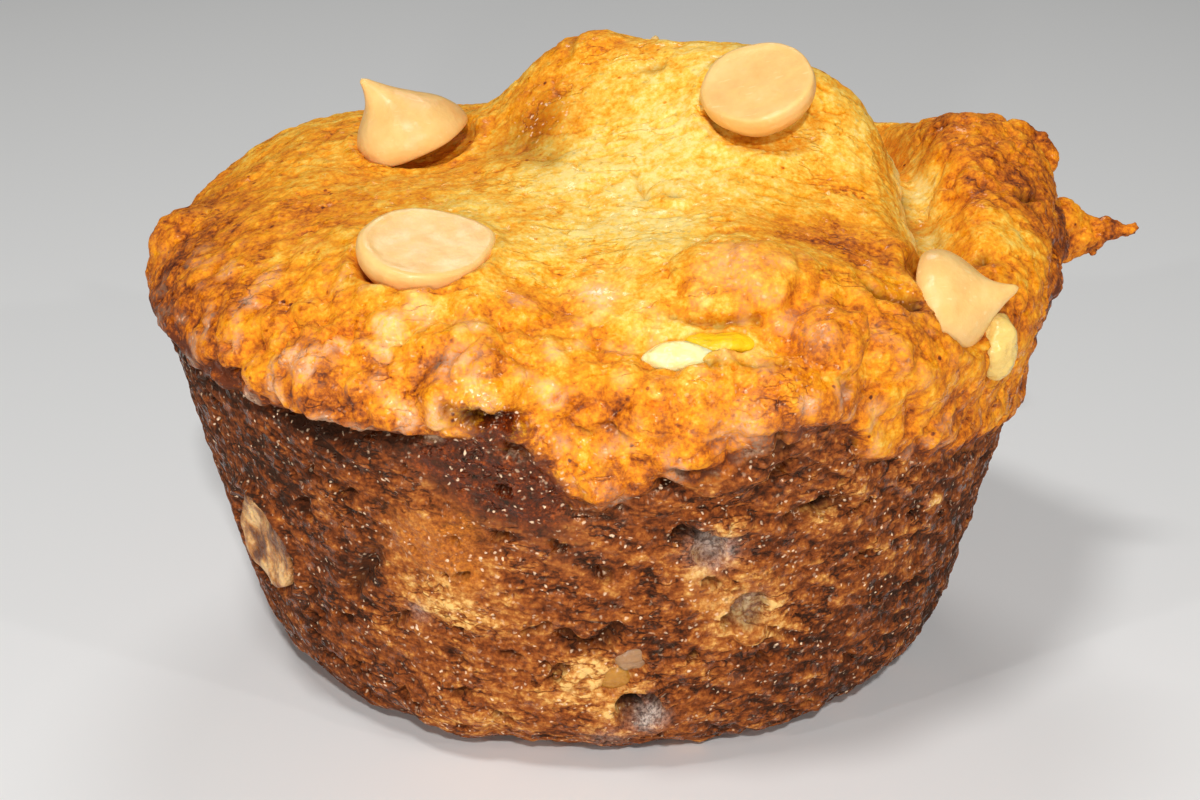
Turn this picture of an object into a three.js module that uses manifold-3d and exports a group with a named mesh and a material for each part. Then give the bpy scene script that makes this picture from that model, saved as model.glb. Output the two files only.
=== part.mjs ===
// A muffin with baking chips and fruit, as it comes out of its tin. Millimetres, +Z up.
// The origin is the centre of the flat base. -Y is the front, where the crown has slumped over the
// rim, and +X is the side where the crown split and left a collar of crust.
import * as THREE from "three";
import { mergeVertices } from "three/addons/utils/BufferGeometryUtils.js";
import Module from "manifold-3d";

const wasm = await Module();
wasm.setup();

// Driving dimensions. The tin cup sets the wall and the base.
const RIM_RADIUS = 35.2; // where the crown leaves the tin
const RIM_HEIGHT = 28;
const BASE_RADIUS = 27.9; // the wall's line carried down to the base
const CORNER_RADIUS = 8.2; // round corner between wall and base
const PLATEAU_HEIGHT = 40.8; // the crown's own height, before its humps
const FIT_GAP = 0.3; // between a baked-in piece and the crumb round it

// Mesh density of the body.
const SEGMENTS = 84;
const BASE_RINGS = 3;
const CORNER_STEPS = 4;
const WALL_STEPS = 3;
const LIP_STEPS = 2;
const CROWN_STEPS = 18;

// Mesh density of the lumps: round, and from end to end.
const LUMP_SEGMENTS = 16;
const LUMP_RINGS = 8;

// Points nearer than this are one point.
const MERGE_DISTANCE = 1e-4;

const CRUST = new THREE.MeshStandardMaterial({ color: 0xc47a28, roughness: 0.5, metalness: 0 });
const CHIP = new THREE.MeshStandardMaterial({ color: 0xe3ad72, roughness: 0.4, metalness: 0 });
const FRUIT = new THREE.MeshStandardMaterial({ color: 0xead58a, roughness: 0.3, metalness: 0 });

const degrees = THREE.MathUtils.degToRad;

// A smooth bump of height 1 round the muffin's axis, centred on one bearing.
function around(angle, bearing, width) {
  const turn = angle - degrees(bearing);
  const nearest = Math.atan2(Math.sin(turn), Math.cos(turn));
  return Math.exp(-((nearest / degrees(width)) ** 2));
}

// How far the crown's widest line stands from the axis.
function lipRadius(angle) {
  return (
    36.2 +
    0.9 * around(angle, 184, 34) + // left shoulder
    1.7 * around(angle, 6, 22) + // split collar
    0.7 * around(angle, 300, 16) + // rolled lip, front right
    0.5 * around(angle, 232, 16) + // rolled lip, front left
    0.8 * around(angle, 100, 60) - // back
    0.7 * around(angle, 268, 9) // the slump between the two lips
  );
}

// The height of that line.
function lipHeight(angle) {
  return 31.4 + 1.2 * around(angle, 180, 40) + 2.2 * around(angle, 5, 24) - 0.6 * around(angle, 268, 12);
}

// How square the shoulder is: 2 is an ellipse, more is boxier.
function shoulderPower(angle) {
  return 3.6 + 8.0 * around(angle, 8, 30) + 2.2 * around(angle, 160, 45) - 1.0 * around(angle, 274, 40);
}

// Humps and hollows of the crown: x, y, radius, height.
const HUMPS = [
  [-3, 5, 7.5, 6.0], // peak, left
  [8, 0, 11, 7.9], // peak, right
  [17.5, -2, 7.5, 3.0], // ridge beside the split
  [-24, 8, 14, 2.2], // left plateau
  [31, 5, 8, 1.8], // split collar
  [35.5, 3, 5.5, 1.8], // the collar's outer edge
  [9, -26, 6.5, 1.7], // front lump
  [16, -30, 4.5, 1.8], // lump at the rolled lip
  [-12, -28, 7, 0.6],
  [-2, -31, 6, -1.2], // front slump
  [-15, -2, 5, -1.0], // hollow round the upright chip
  [4, 24, 10, 1.6], // back lump
];

// The split between crown and collar, and the crease above the rolled lip.
const SPLIT = {
  path: [[23, 14], [24.3, 4], [25, -6], [24.7, -14], [26, -21], [28, -27]],
  width: 2.4,
  depth: 5.2,
};
const CREASE = {
  path: [[2, -31.5], [7, -31.8], [12, -32], [19, -29]],
  width: 1.5,
  depth: 2.2,
};

function distanceToPath(x, y, path) {
  let nearest = Infinity;
  for (let i = 0; i + 1 < path.length; i++) {
    const [ax, ay] = path[i];
    const [dx, dy] = [path[i + 1][0] - ax, path[i + 1][1] - ay];
    const share = THREE.MathUtils.clamp(((x - ax) * dx + (y - ay) * dy) / (dx * dx + dy * dy), 0, 1);
    nearest = Math.min(nearest, Math.hypot(x - ax - share * dx, y - ay - share * dy));
  }
  return nearest;
}

function crownHeight(x, y) {
  let height = PLATEAU_HEIGHT;
  for (const [cx, cy, radius, rise] of HUMPS)
    height += rise * Math.exp(-((x - cx) ** 2 + (y - cy) ** 2) / radius ** 2);
  for (const { path, width, depth } of [SPLIT, CREASE])
    height -= depth * Math.exp(-((distanceToPath(x, y, path) / width) ** 2));
  return height;
}

// The rings of the body from the base's centre to the crown's. Each gives radius and height at a
// bearing.
function bodyRings() {
  const rings = [];
  const wallLength = Math.hypot(RIM_HEIGHT, RIM_RADIUS - BASE_RADIUS);
  const outward = { r: RIM_HEIGHT / wallLength, z: -(RIM_RADIUS - BASE_RADIUS) / wallLength };
  const flatRadius = BASE_RADIUS - (CORNER_RADIUS * (1 + outward.z)) / outward.r;
  const wallAngle = Math.atan2(outward.z, outward.r);
  const arc = (angle) => ({
    r: flatRadius + CORNER_RADIUS * Math.cos(angle),
    z: CORNER_RADIUS * (1 + Math.sin(angle)),
  });
  for (let i = 0; i < BASE_RINGS; i++) rings.push(() => ({ r: (flatRadius * i) / BASE_RINGS, z: 0 }));
  for (let i = 0; i <= CORNER_STEPS; i++) {
    const angle = THREE.MathUtils.lerp(-Math.PI / 2, wallAngle, i / CORNER_STEPS);
    rings.push(() => arc(angle));
  }
  const foot = arc(wallAngle);
  for (let i = 1; i <= WALL_STEPS; i++) {
    const share = i / WALL_STEPS;
    rings.push(() => ({
      r: THREE.MathUtils.lerp(foot.r, RIM_RADIUS, share),
      z: THREE.MathUtils.lerp(foot.z, RIM_HEIGHT, share),
    }));
  }
  for (let i = 1; i <= LIP_STEPS; i++) {
    const share = i / LIP_STEPS;
    rings.push((angle) => ({
      r: THREE.MathUtils.lerp(RIM_RADIUS, lipRadius(angle), share),
      z: THREE.MathUtils.lerp(RIM_HEIGHT, lipHeight(angle), share),
    }));
  }
  for (let i = 1; i <= CROWN_STEPS; i++) {
    const inward = i === CROWN_STEPS ? 0 : Math.cos(((Math.PI / 2) * i) / CROWN_STEPS);
    rings.push((angle) => {
      const r = lipRadius(angle) * inward;
      const top = crownHeight(r * Math.cos(angle), r * Math.sin(angle));
      const climb = Math.sqrt(1 - inward ** shoulderPower(angle));
      return { r, z: THREE.MathUtils.lerp(lipHeight(angle), top, climb) };
    });
  }
  return rings;
}

// A lathe gives the rings their faces, and each vertex is then put where its own bearing wants it.
function bodyGeometry() {
  const rings = bodyRings();
  const profile = rings.map((ring) => {
    const { r, z } = ring(0);
    return new THREE.Vector2(r, z);
  });
  const geometry = new THREE.LatheGeometry(profile, SEGMENTS).rotateX(Math.PI / 2);
  const position = geometry.getAttribute("position");
  for (let i = 0; i < position.count; i++) {
    const turn = Math.floor(i / rings.length) % SEGMENTS;
    const angle = -Math.PI / 2 + (2 * Math.PI * turn) / SEGMENTS;
    const { r, z } = rings[i % rings.length](angle);
    position.setXYZ(i, r * Math.cos(angle), r * Math.sin(angle), z);
  }
  return geometry;
}

// A baking chip stands on its flat foot with its point up, before it is placed.
const CHIP_SEGMENTS = 20;
const CHIP_PROFILE = [
  [0, 0],
  [4.2, 0],
  [4.7, 0.5],
  [4.8, 1.1],
  [4.3, 2.3],
  [3.2, 3.6],
  [1.9, 4.8],
  [0.8, 5.9],
  [0.3, 6.7],
  [0, 6.9],
];

// gap makes the same shape larger all round, which is the pocket that the chip sits in, and mouth
// carries the pocket on past a foot that faces out of the crumb.
function chipGeometry(gap = 0, mouth = 0) {
  const last = CHIP_PROFILE.length - 1;
  const points = CHIP_PROFILE.map(([r, z], i) => {
    const lift = i <= 1 ? -gap - mouth : i === last ? gap : 0;
    return new THREE.Vector2(i === 0 || i === last ? 0 : r + gap, z + lift);
  });
  return new THREE.LatheGeometry(points, CHIP_SEGMENTS).rotateX(Math.PI / 2);
}

// A piece of fruit, a drip or a hollow is a rounded lump with three radii.
function lumpGeometry(radii, gap = 0) {
  const [x, y, z] = radii;
  return new THREE.SphereGeometry(1, LUMP_SEGMENTS, LUMP_RINGS).scale(x + gap, y + gap, z + gap);
}

// Each chip's foot centre, the way its point faces, and its size beside the standard chip.
const CHIPS = [
  { name: "chip_upright_left", foot: [-15.0, 1.2, 41.5], points: [-0.42, -0.1, 0.9], size: 0.94 },
  { name: "chip_flat_front", foot: [-12.5, -23.4, 39.9], points: [-0.06, 0.17, -0.98], size: 1, mouth: 2 },
  { name: "chip_flat_back", foot: [11.6, -8.8, 48.4], points: [0.25, 0.5, -0.83], size: 0.91, mouth: 2 },
  { name: "chip_side_right", foot: [24.0, -20.6, 34.3], points: [0.87, -0.4, 0.28], size: 0.88 },
  { name: "chip_in_wall", foot: [-26.2, -18.7, 14.9], points: [0.8, 0.58, 0.1], size: 0.8, mouth: 2 },
  { name: "chip_rear_upright", foot: [5, 25, 39.6], points: [-0.1, 0.35, 0.93], size: 0.93 },
  { name: "chip_rear_flat", foot: [15.5, 20.5, 40.2], points: [-0.2, -0.3, -0.93], size: 0.96, mouth: 2 },
];

// Each piece of fruit: its centre, its radii and its turn about X, Y and Z in degrees.
const FRUITS = [
  { name: "fruit_crease_front", centre: [9.0, -31.9, 34.5], radii: [5.2, 1.7, 1.5], turn: [0, 0, 4] },
  { name: "fruit_split_right", centre: [29.3, -21.2, 30.2], radii: [1.6, 1.5, 2.5], turn: [0, -10, 0] },
  { name: "fruit_wall_low", centre: [2.0, -29.8, 12.0], radii: [2.2, 1.5, 3.0], turn: [8, 0, 0] },
];

// Hollows that steam left open at the front: centre and radii.
const HOLLOWS = [
  { centre: [2.8, -29.6, 6.4], radii: [2.3, 3.4, 2.2] },
  { centre: [6.1, -33.4, 21.3], radii: [2.4, 1.9, 0.9] },
];

// Thin batter that ran over the tin's edge and set: centre, radii, turn in degrees.
const DRIPS = [
  { centre: [37.6, 3.6, 33.4], radii: [4.2, 2.2, 3.4], turn: [0, 0, 0] },
  { centre: [42.3, 3.0, 34.0], radii: [3.2, 1.0, 0.9], turn: [0, 4, 0] },
  { centre: [35.4, 6.4, 39.8], radii: [2.6, 1.8, 1.6], turn: [0, -12, 0] },
];

function placed(geometry, centre, turn = [0, 0, 0]) {
  const rotation = new THREE.Euler(...turn.map(degrees));
  return geometry.applyMatrix4(new THREE.Matrix4().makeRotationFromEuler(rotation)).translate(...centre);
}

function pointed(geometry, { foot, points, size }) {
  const axis = new THREE.Vector3(...points).normalize();
  const turn = new THREE.Quaternion().setFromUnitVectors(new THREE.Vector3(0, 0, 1), axis);
  return geometry.scale(size, size, size).applyQuaternion(turn).translate(...foot);
}

function solidFrom(geometry) {
  const bare = geometry.clone();
  for (const name of ["normal", "uv"]) bare.deleteAttribute(name);
  const merged = mergeVertices(bare, MERGE_DISTANCE);
  return new wasm.Manifold(
    new wasm.Mesh({
      numProp: 3,
      vertProperties: merged.getAttribute("position").array,
      triVerts: new Uint32Array(merged.index.array),
    }),
  );
}

function geometryFrom(solid) {
  const { vertProperties, triVerts } = solid.getMesh();
  const geometry = new THREE.BufferGeometry();
  geometry.setAttribute("position", new THREE.BufferAttribute(vertProperties, 3));
  geometry.setIndex(new THREE.BufferAttribute(triVerts, 1));
  geometry.computeVertexNormals();
  return geometry;
}

function bodyWithPockets() {
  let body = solidFrom(bodyGeometry());
  for (const { centre, radii, turn } of DRIPS)
    body = body.add(solidFrom(placed(lumpGeometry(radii), centre, turn)));
  for (const { centre, radii } of HOLLOWS)
    body = body.subtract(solidFrom(placed(lumpGeometry(radii), centre)));
  for (const chip of CHIPS)
    body = body.subtract(solidFrom(pointed(chipGeometry(FIT_GAP, chip.mouth), chip)));
  for (const { centre, radii, turn } of FRUITS)
    body = body.subtract(solidFrom(placed(lumpGeometry(radii, FIT_GAP), centre, turn)));
  return geometryFrom(body);
}

function part(name, geometry, material) {
  const mesh = new THREE.Mesh(geometry, material);
  mesh.name = name;
  return mesh;
}

const muffin = new THREE.Group();
muffin.add(part("muffin_body", bodyWithPockets(), CRUST));
for (const chip of CHIPS) muffin.add(part(chip.name, pointed(chipGeometry(), chip), CHIP));
for (const { name, centre, radii, turn } of FRUITS)
  muffin.add(part(name, placed(lumpGeometry(radii), centre, turn), FRUIT));

export default muffin;
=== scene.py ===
"""A baked muffin with baking chips and fruit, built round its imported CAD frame.

Shapes are worked out in millimetres, with the frame's own axes, and scaled to metres when each mesh is made.
"""
import functools
import itertools
import math

import bmesh
import bpy
import numpy as np
from mathutils import Matrix, Vector


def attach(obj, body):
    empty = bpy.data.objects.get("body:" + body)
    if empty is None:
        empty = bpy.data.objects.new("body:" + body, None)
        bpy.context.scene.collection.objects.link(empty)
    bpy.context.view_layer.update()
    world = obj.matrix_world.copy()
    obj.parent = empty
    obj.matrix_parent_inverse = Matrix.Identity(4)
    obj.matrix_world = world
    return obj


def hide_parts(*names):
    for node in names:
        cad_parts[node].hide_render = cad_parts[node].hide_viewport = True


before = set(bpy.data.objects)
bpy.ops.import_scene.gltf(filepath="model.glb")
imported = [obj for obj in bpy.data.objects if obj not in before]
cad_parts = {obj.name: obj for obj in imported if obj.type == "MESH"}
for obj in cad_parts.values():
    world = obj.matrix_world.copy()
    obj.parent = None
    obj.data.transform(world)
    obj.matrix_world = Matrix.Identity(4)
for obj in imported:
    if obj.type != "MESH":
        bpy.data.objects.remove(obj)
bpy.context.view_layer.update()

MM = 0.001

# The tin cup's shape and the crown's height, the same as in the CAD part.
RIM_RADIUS, RIM_HEIGHT = 35.2, 28.0
BASE_RADIUS, CORNER_RADIUS = 27.9, 8.2
PLATEAU_HEIGHT = 40.8

VOXEL = 0.24  # how fine the body's own mesh is


# ---- helpers

def bell(distance, width):
    return np.exp(-((distance / width) ** 2))


def smooth(low, high, x):
    t = np.clip((x - low) / (high - low), 0.0, 1.0)
    return t * t * (3.0 - 2.0 * t)


def around(angle, bearing, width):
    turn = angle - math.radians(bearing)
    return bell(np.arctan2(np.sin(turn), np.cos(turn)), math.radians(width))


def path_distance(p, path):
    """Distance of each point from a path of straight stretches, in as many dimensions as the path has."""
    path = np.asarray(path, float)
    q = p[..., : path.shape[1]]
    nearest = np.full(q.shape[:-1], 1e9)
    for a, b in zip(path[:-1], path[1:]):
        d = b - a
        t = np.clip(((q - a) @ d) / (d @ d), 0.0, 1.0)
        nearest = np.minimum(nearest, np.linalg.norm(q - a - t[..., None] * d, axis=-1))
    return nearest


class Noise:
    """Seeded 3-D gradient noise on arrays of points, about -1 to 1."""

    def __init__(self, seed):
        rng = np.random.default_rng(seed)
        self.table = rng.permutation(256)
        self.table = np.concatenate([self.table, self.table])
        g = rng.normal(size=(256, 3))
        self.gradients = (g / np.linalg.norm(g, axis=1)[:, None]).astype(np.float32)

    def __call__(self, p, size):
        q = np.asarray(p, np.float32) / size
        cell = np.floor(q).astype(np.int64)
        f = q - cell
        u = f * f * f * (f * (f * 6 - 15) + 10)
        cell &= 255
        total = np.zeros(len(q), np.float32)
        for corner in itertools.product((0, 1), repeat=3):
            weight, pick = 1.0, 0
            for axis, step in enumerate(corner):
                weight = weight * (u[:, axis] if step else 1 - u[:, axis])
                pick = self.table[pick + ((cell[:, axis] + step) & 255)]
            total += weight * ((f - corner) * self.gradients[pick]).sum(1)
        return total * 1.6

    def layered(self, p, size, octaves):
        return sum(self(p + 17.3 * i, size / 2**i) / 2**i for i in range(octaves))


# A small whole-number hash that gives each cell its own scattered point.
HASH_PRIMES = (73856093, 19349663, 83492791)
HASH_SEED, HASH_STEP, HASH_SHIFT, HASH_MASK = 2654435761, 1103515245, 12345, 0x7FFFFFFF


def cell_jitter(cell, seed):
    """Three numbers from 0 to 1 for each cell."""
    mixed = cell * np.array(HASH_PRIMES)
    state = (mixed[:, 0] ^ mixed[:, 1] ^ mixed[:, 2] ^ seed * HASH_SEED) & HASH_MASK
    jitter = []
    for _ in range(3):
        state = (state * HASH_STEP + HASH_SHIFT) & HASH_MASK
        jitter.append((state >> 8) / float(1 << 23))
    return np.stack(jitter, 1)


def cells(p, size, seed):
    """Distance to the nearest of scattered points, one to a cell, in cell sizes, and a number of its own."""
    q = p / size
    base = np.floor(q).astype(np.int64)
    nearest = np.full(len(q), 9.0)
    pick = np.zeros(len(q))
    for step in itertools.product((-1, 0, 1), repeat=3):
        cell = base + step
        jitter = cell_jitter(cell, seed)
        distance = np.linalg.norm(cell + jitter - q, axis=1)
        nearer = distance < nearest
        pick = np.where(nearer, jitter[:, 0], pick)
        nearest = np.where(nearer, distance, nearest)
    return nearest, pick


# ---- the body's own shape

def lip_radius(angle):
    return (
        36.2
        + 0.2 * around(angle, 184, 34)
        + 1.7 * around(angle, 6, 22)
        + 0.7 * around(angle, 300, 16)
        + 0.5 * around(angle, 232, 16)
        + 0.8 * around(angle, 100, 60)
        - 0.7 * around(angle, 268, 9)
    )


def lip_height(angle):
    return 31.4 + 1.2 * around(angle, 180, 40) + 2.2 * around(angle, 5, 24) - 0.6 * around(angle, 268, 12)


def shoulder_power(angle):
    right, rear = 8.0 * around(angle, 8, 30), 1.6 * around(angle, 140, 30)
    return 3.6 + right + rear - 0.7 * around(angle, 188, 28) - 1.0 * around(angle, 274, 40)


HUMPS = [  # x, y, radius, height
    (-2.4, 5, 7.2, 5.6), (8, 0, 11, 7.9), (17.5, -2, 7.5, 3), (-24, 8, 14, 1.7),
    (-34, 3, 6.5, -2.4), (31, 5, 8, 1.8), (35.5, 3, 5.5, 1.8), (9, -26, 6.5, 1.7),
    (16, -30, 4.5, 1.8), (-12, -28, 7, 0.6), (-2, -31, 6, -1.2), (-15, -2, 5, -1),
    (4, 24, 10, 1.6),
]
SPLIT = [(23, 14), (24.3, 4), (25, -6), (24.7, -14), (26, -21), (28, -27)]
CREASE = [(2, -31.5), (7, -31.8), (12, -32), (19, -29)]
SPLIT_DEPTH, SPLIT_WIDTH = 5.2, 2.4
CREASE_DEPTH, CREASE_WIDTH = 2.2, 1.5


def crown_height(x, y):
    height = np.full(x.shape, PLATEAU_HEIGHT)
    for cx, cy, radius, rise in HUMPS:
        height += rise * np.exp(-((x - cx) ** 2 + (y - cy) ** 2) / radius**2)
    xy = np.stack([x, y], -1)
    height -= SPLIT_DEPTH * bell(path_distance(xy, SPLIT), SPLIT_WIDTH)
    height -= CREASE_DEPTH * bell(path_distance(xy, CREASE), CREASE_WIDTH)
    return height


def surface_grid(turns):
    """Rings of points from the base's centre, out over the wall and the lip, and in to the crown's centre."""
    angle = np.linspace(0, 2 * math.pi, turns, endpoint=False)
    length = math.hypot(RIM_HEIGHT, RIM_RADIUS - BASE_RADIUS)
    # the way that the tapered side faces
    out_r, out_z = RIM_HEIGHT / length, -(RIM_RADIUS - BASE_RADIUS) / length
    flat = BASE_RADIUS - CORNER_RADIUS * (1 + out_z) / out_r
    rings = [(flat * s, 0.0) for s in np.linspace(0.05, 1, 20, endpoint=False)]
    for a in np.linspace(-math.pi / 2, math.atan2(out_z, out_r), 24):
        rings.append((flat + CORNER_RADIUS * math.cos(a), CORNER_RADIUS * (1 + math.sin(a))))
    foot = rings[-1]
    for s in np.linspace(0, 1, 36)[1:]:
        rings.append((foot[0] + (RIM_RADIUS - foot[0]) * s, foot[1] + (RIM_HEIGHT - foot[1]) * s))
    ones = np.ones(turns)
    grid = [np.stack([r * np.cos(angle), r * np.sin(angle), z * ones], -1) for r, z in rings]
    lip_r, lip_z = lip_radius(angle), lip_height(angle)
    for s in np.linspace(0, 1, 8)[1:]:
        r, z = RIM_RADIUS + (lip_r - RIM_RADIUS) * s, RIM_HEIGHT + (lip_z - RIM_HEIGHT) * s
        grid.append(np.stack([r * np.cos(angle), r * np.sin(angle), z], -1))
    for a in np.linspace(0, math.pi / 2, 100)[1:-1]:
        inward = math.cos(a)
        x, y = lip_r * inward * np.cos(angle), lip_r * inward * np.sin(angle)
        climb = np.sqrt(1 - inward ** shoulder_power(angle))
        grid.append(np.stack([x, y, lip_z + (crown_height(x, y) - lip_z) * climb], -1))
    return np.array(grid)


def closed_mesh(name, *grids):
    """A mesh of closed shells, each from rings of points, with a point at each end."""
    points, faces = [], []
    for grid in grids:
        rings, turns = grid.shape[:2]
        first = sum(len(part) for part in points)
        points.append(np.concatenate([grid[0].mean(0)[None], grid.reshape(-1, 3), grid[-1].mean(0)[None]]))
        last = first + len(points[-1]) - 1
        for j in range(turns):
            k = (j + 1) % turns
            faces.append((first, first + 1 + k, first + 1 + j))
            faces.append((last, last - turns + j, last - turns + k))
            for i in range(rings - 1):
                a, b = first + 1 + i * turns, first + 1 + (i + 1) * turns
                faces.append((a + j, a + k, b + k, b + j))
    mesh = bpy.data.meshes.new(name)
    mesh.from_pydata(np.concatenate(points).tolist(), [], faces)
    return mesh


# Batter that ran over the tin's edge and set: x, y, z, radius of each blob.
DRIP_BLOBS = [
    (37, 3.6, 33.2, 2.6),
    (38.3, 3.8, 32.4, 2.2),
    (38.6, 3.4, 34.3, 1.7),
    (39.8, 3.8, 32.9, 1.9),
    (40.9, 3.8, 32.6, 1.5),
    (41.6, 4, 31.6, 0.75),
    (41.9, 3.4, 33.5, 1.05),
    (42.9, 3.3, 33.5, 0.8),
    (43.8, 3.3, 33.4, 0.62),
    (44.5, 3.2, 33.6, 0.75),
    (35, 6.4, 39.8, 2.2),
    (36.8, 6.3, 40.2, 1.25),
    (37.7, 6.2, 39, 0.95),
    (37.4, 6, 38, 0.6),
]


def add_drips(mesh):
    """Adds the blobs of the drips to the body's mesh."""
    shape = bmesh.new()
    shape.from_mesh(mesh)
    for x, y, z, radius in DRIP_BLOBS:
        bmesh.ops.create_icosphere(shape, subdivisions=3, radius=radius, matrix=Matrix.Translation((x, y, z)))
    shape.to_mesh(mesh)
    shape.free()


def new_object(name, mesh):
    ob = bpy.data.objects.new(name, mesh)
    bpy.context.scene.collection.objects.link(ob)
    return ob


def applied(ob):
    """The object's mesh with its modifiers worked in."""
    bpy.context.view_layer.update()
    mesh = bpy.data.meshes.new_from_object(ob.evaluated_get(bpy.context.evaluated_depsgraph_get()))
    old = ob.data
    ob.modifiers.clear()
    ob.data = mesh
    bpy.data.meshes.remove(old)
    return mesh


def read_points(mesh):
    co = np.empty(len(mesh.vertices) * 3, np.float32)
    mesh.vertices.foreach_get("co", co)
    return co.reshape(-1, 3).astype(float)


def read_normals(mesh):
    n = np.empty(len(mesh.vertices) * 3, np.float32)
    mesh.vertex_normals.foreach_get("vector", n)
    return n.reshape(-1, 3).astype(float)


def set_shape(mesh, points):
    """Moves the mesh's points to the given places, in millimetres, and shades it smooth."""
    mesh.vertices.foreach_set("co", (points * MM).astype(np.float32).ravel())
    mesh.polygons.foreach_set("use_smooth", np.ones(len(mesh.polygons), bool))
    mesh.update()


def write_mask(mesh, name, values):
    attribute = mesh.attributes.new(name, "FLOAT", "POINT")
    attribute.data.foreach_set("value", values.astype(np.float32))


def remeshed_body():
    """The body's plain shape and its drips as one even mesh, in millimetres."""
    mesh = closed_mesh("muffin_crumb", surface_grid(420))
    add_drips(mesh)
    body = new_object("muffin_crumb", mesh)
    remesh = body.modifiers.new("even", "REMESH")
    remesh.mode = "VOXEL"
    remesh.voxel_size = VOXEL
    soften = body.modifiers.new("soften", "SMOOTH")
    soften.factor = 0.5
    soften.iterations = 4
    applied(body)
    return body


# ---- the body's surface

def caps(f1, reach=0.85):
    """Round caps that meet in sharp creases, from distances to scattered points."""
    return np.sqrt(np.clip(1 - (f1 / reach) ** 2, 0, 1))


# x, y, z, radius, height
LUMPS = [
    (9, -27.6, 39, 3.6, 1.1),
    (11.8, -27.2, 39, 2.6, 0.7),
    (15.4, -31.4, 35.5, 2.2, 2),
    (19, -28.5, 34.5, 2.6, 0.8),
    (-22.1, -27.9, 34.7, 2.2, 0.7),
    (-19.7, -30.5, 33, 2.4, 0.8),
    (-17.4, -31.9, 31.2, 1.9, 0.9),
    (-14.8, -33, 31.8, 1.7, 0.7),
    (-11.5, -33.1, 34.4, 2.3, 0.8),
    (-8.7, -33.2, 35.1, 1.9, 0.7),
    (-7.4, -34.4, 33.5, 1.9, 0.9),
    (-10.5, -34.4, 32.6, 1.5, 0.7),
    (8, -35, 30, 4, 1),
    (12.5, -33.8, 31.2, 3, 0.9),
    (4, -35.4, 31, 2.6, 0.5),
    (7.5, -34, 26.6, 2.6, 0.7),
    (3.4, -34, 25.6, 1.8, 0.5),
    (-0.2, -35, 26.8, 1.5, 0.9),
    (-0.4, -34.6, 24.9, 1.2, 0.5),
    (-34, -5.5, 36.6, 2.6, 0.9),
    (-30.5, 1, 40.6, 3, 0.8),
    (-1, 3.4, 48.9, 2.2, 0.4),
    (26.2, -6, 38.4, 1.2, 0.5),
    (7, -33.2, 22.9, 1.2, 0.9),
    (9, -32.6, 22.4, 1, 0.8),
    (2.9, -23.6, 39.4, 1.4, 0.35),
    (5, -15.4, 41.4, 1.6, 0.5),
    (10.4, -29.3, 12.6, 1.1, 0.8),
    (-12, -31, 20.6, 2.6, 0.4),
    (-10, -30.2, 15, 2.4, 0.3),
    (-12, -26, 3.6, 3, 0.5),
]

# path, width, depth
GROOVES = [
    ([(-25.6, -25, 29), (-21.7, -28, 28.4), (-15.4, -32, 28.3), (-10.9, -33.9, 28.9)], 0.45, 0.9),
    ([(-24.3, -26.8, 34), (-25.3, -26.1, 30.7)], 0.3, 0.6),
    ([(-10.2, -35, 31.6), (-8.8, -35.2, 31), (-7.4, -35.3, 31)], 0.45, 1.1),
    ([(-6.6, -35.2, 28.9), (-5.2, -35.2, 28.4)], 0.5, 1.2),
    ([(-19, -27.9, 22.4), (-17.9, -28.6, 22.5)], 0.25, 0.7),
    ([(-16.6, -28.3, 17.6), (-18.4, -26, 14)], 0.7, 1.2),
    ([(-15.9, -26.5, 11.6), (-14.1, -28, 13.1)], 0.3, 0.7),
    ([(-5.7, -30.9, 12.9), (-3.8, -31.3, 13.9)], 0.3, 0.7),
    ([(-2.9, -31.2, 12.9), (-1.8, -31, 11.8), (-0.4, -31.1, 12), (1.1, -31.4, 13.6)], 0.5, 1.5),
    ([(13.1, -31.2, 22), (14.8, -30.3, 22.6), (16.8, -29.2, 22.6)], 0.55, 1.2),
    ([(2, -33.8, 34.9), (6, -33.6, 34.6), (10.5, -33.4, 34.3), (16.5, -32.6, 32.4)], 0.35, 0.8),
    ([(4.6, -30.2, 36.6), (7.6, -30.9, 36.2), (10.6, -30.8, 36.4)], 0.3, 0.7),
    ([(-1.9, -35.4, 30.5), (-0.8, -35.4, 29.9), (0.5, -35.5, 30.4), (1.6, -35.4, 29.7)], 0.22, 0.6),
    ([(4.6, -35.2, 27.9), (8, -35, 27.4), (10.7, -34.2, 28), (11.4, -34.2, 29.8)], 0.4, 1.1),
    ([(2.3, -12, 42.5), (2.6, -13.8, 42), (3.3, -15.1, 41.5)], 0.22, 0.5),
    ([(4.4, -14.8, 41.8), (5.4, -15.9, 41.3)], 0.3, 0.6),
    ([(1.9, -22.6, 40), (3.6, -22.2, 40.1)], 0.2, 0.35),
    ([(9.2, -10.6, 44.6), (11.2, -11.4, 44)], 0.3, 0.8),
    ([(23, 6, 41.2), (24.4, -3.6, 38.8), (24.6, -11, 36.8), (24.9, -14.5, 35.8)], 0.7, 1.3),
    ([(18.6, -26, 37.4), (20.4, -26.2, 36.6), (22.4, -25.3, 36.2)], 0.45, 1),
    ([(32.6, -7, 38.7), (34.8, -4.6, 38.5)], 0.5, 1.4),
    ([(28, -16.6, 36.8), (28.8, -16.6, 36.2)], 0.5, 1),
    ([(-4.6, -8, 44), (-8.5, -3.2, 44.5)], 1.9, 0.9),
    ([(-2.4, 2, 48.5), (-1.6, 6, 50)], 0.5, 0.5),
    ([(2.4, -2.6, 48.6), (4.6, -2.4, 48.6)], 0.5, 0.6),
    ([(-32.6, -1, 38.6), (-31.9, -8.5, 38.4), (-30, -14, 37.9)], 1.1, 0.5),
]

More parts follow.
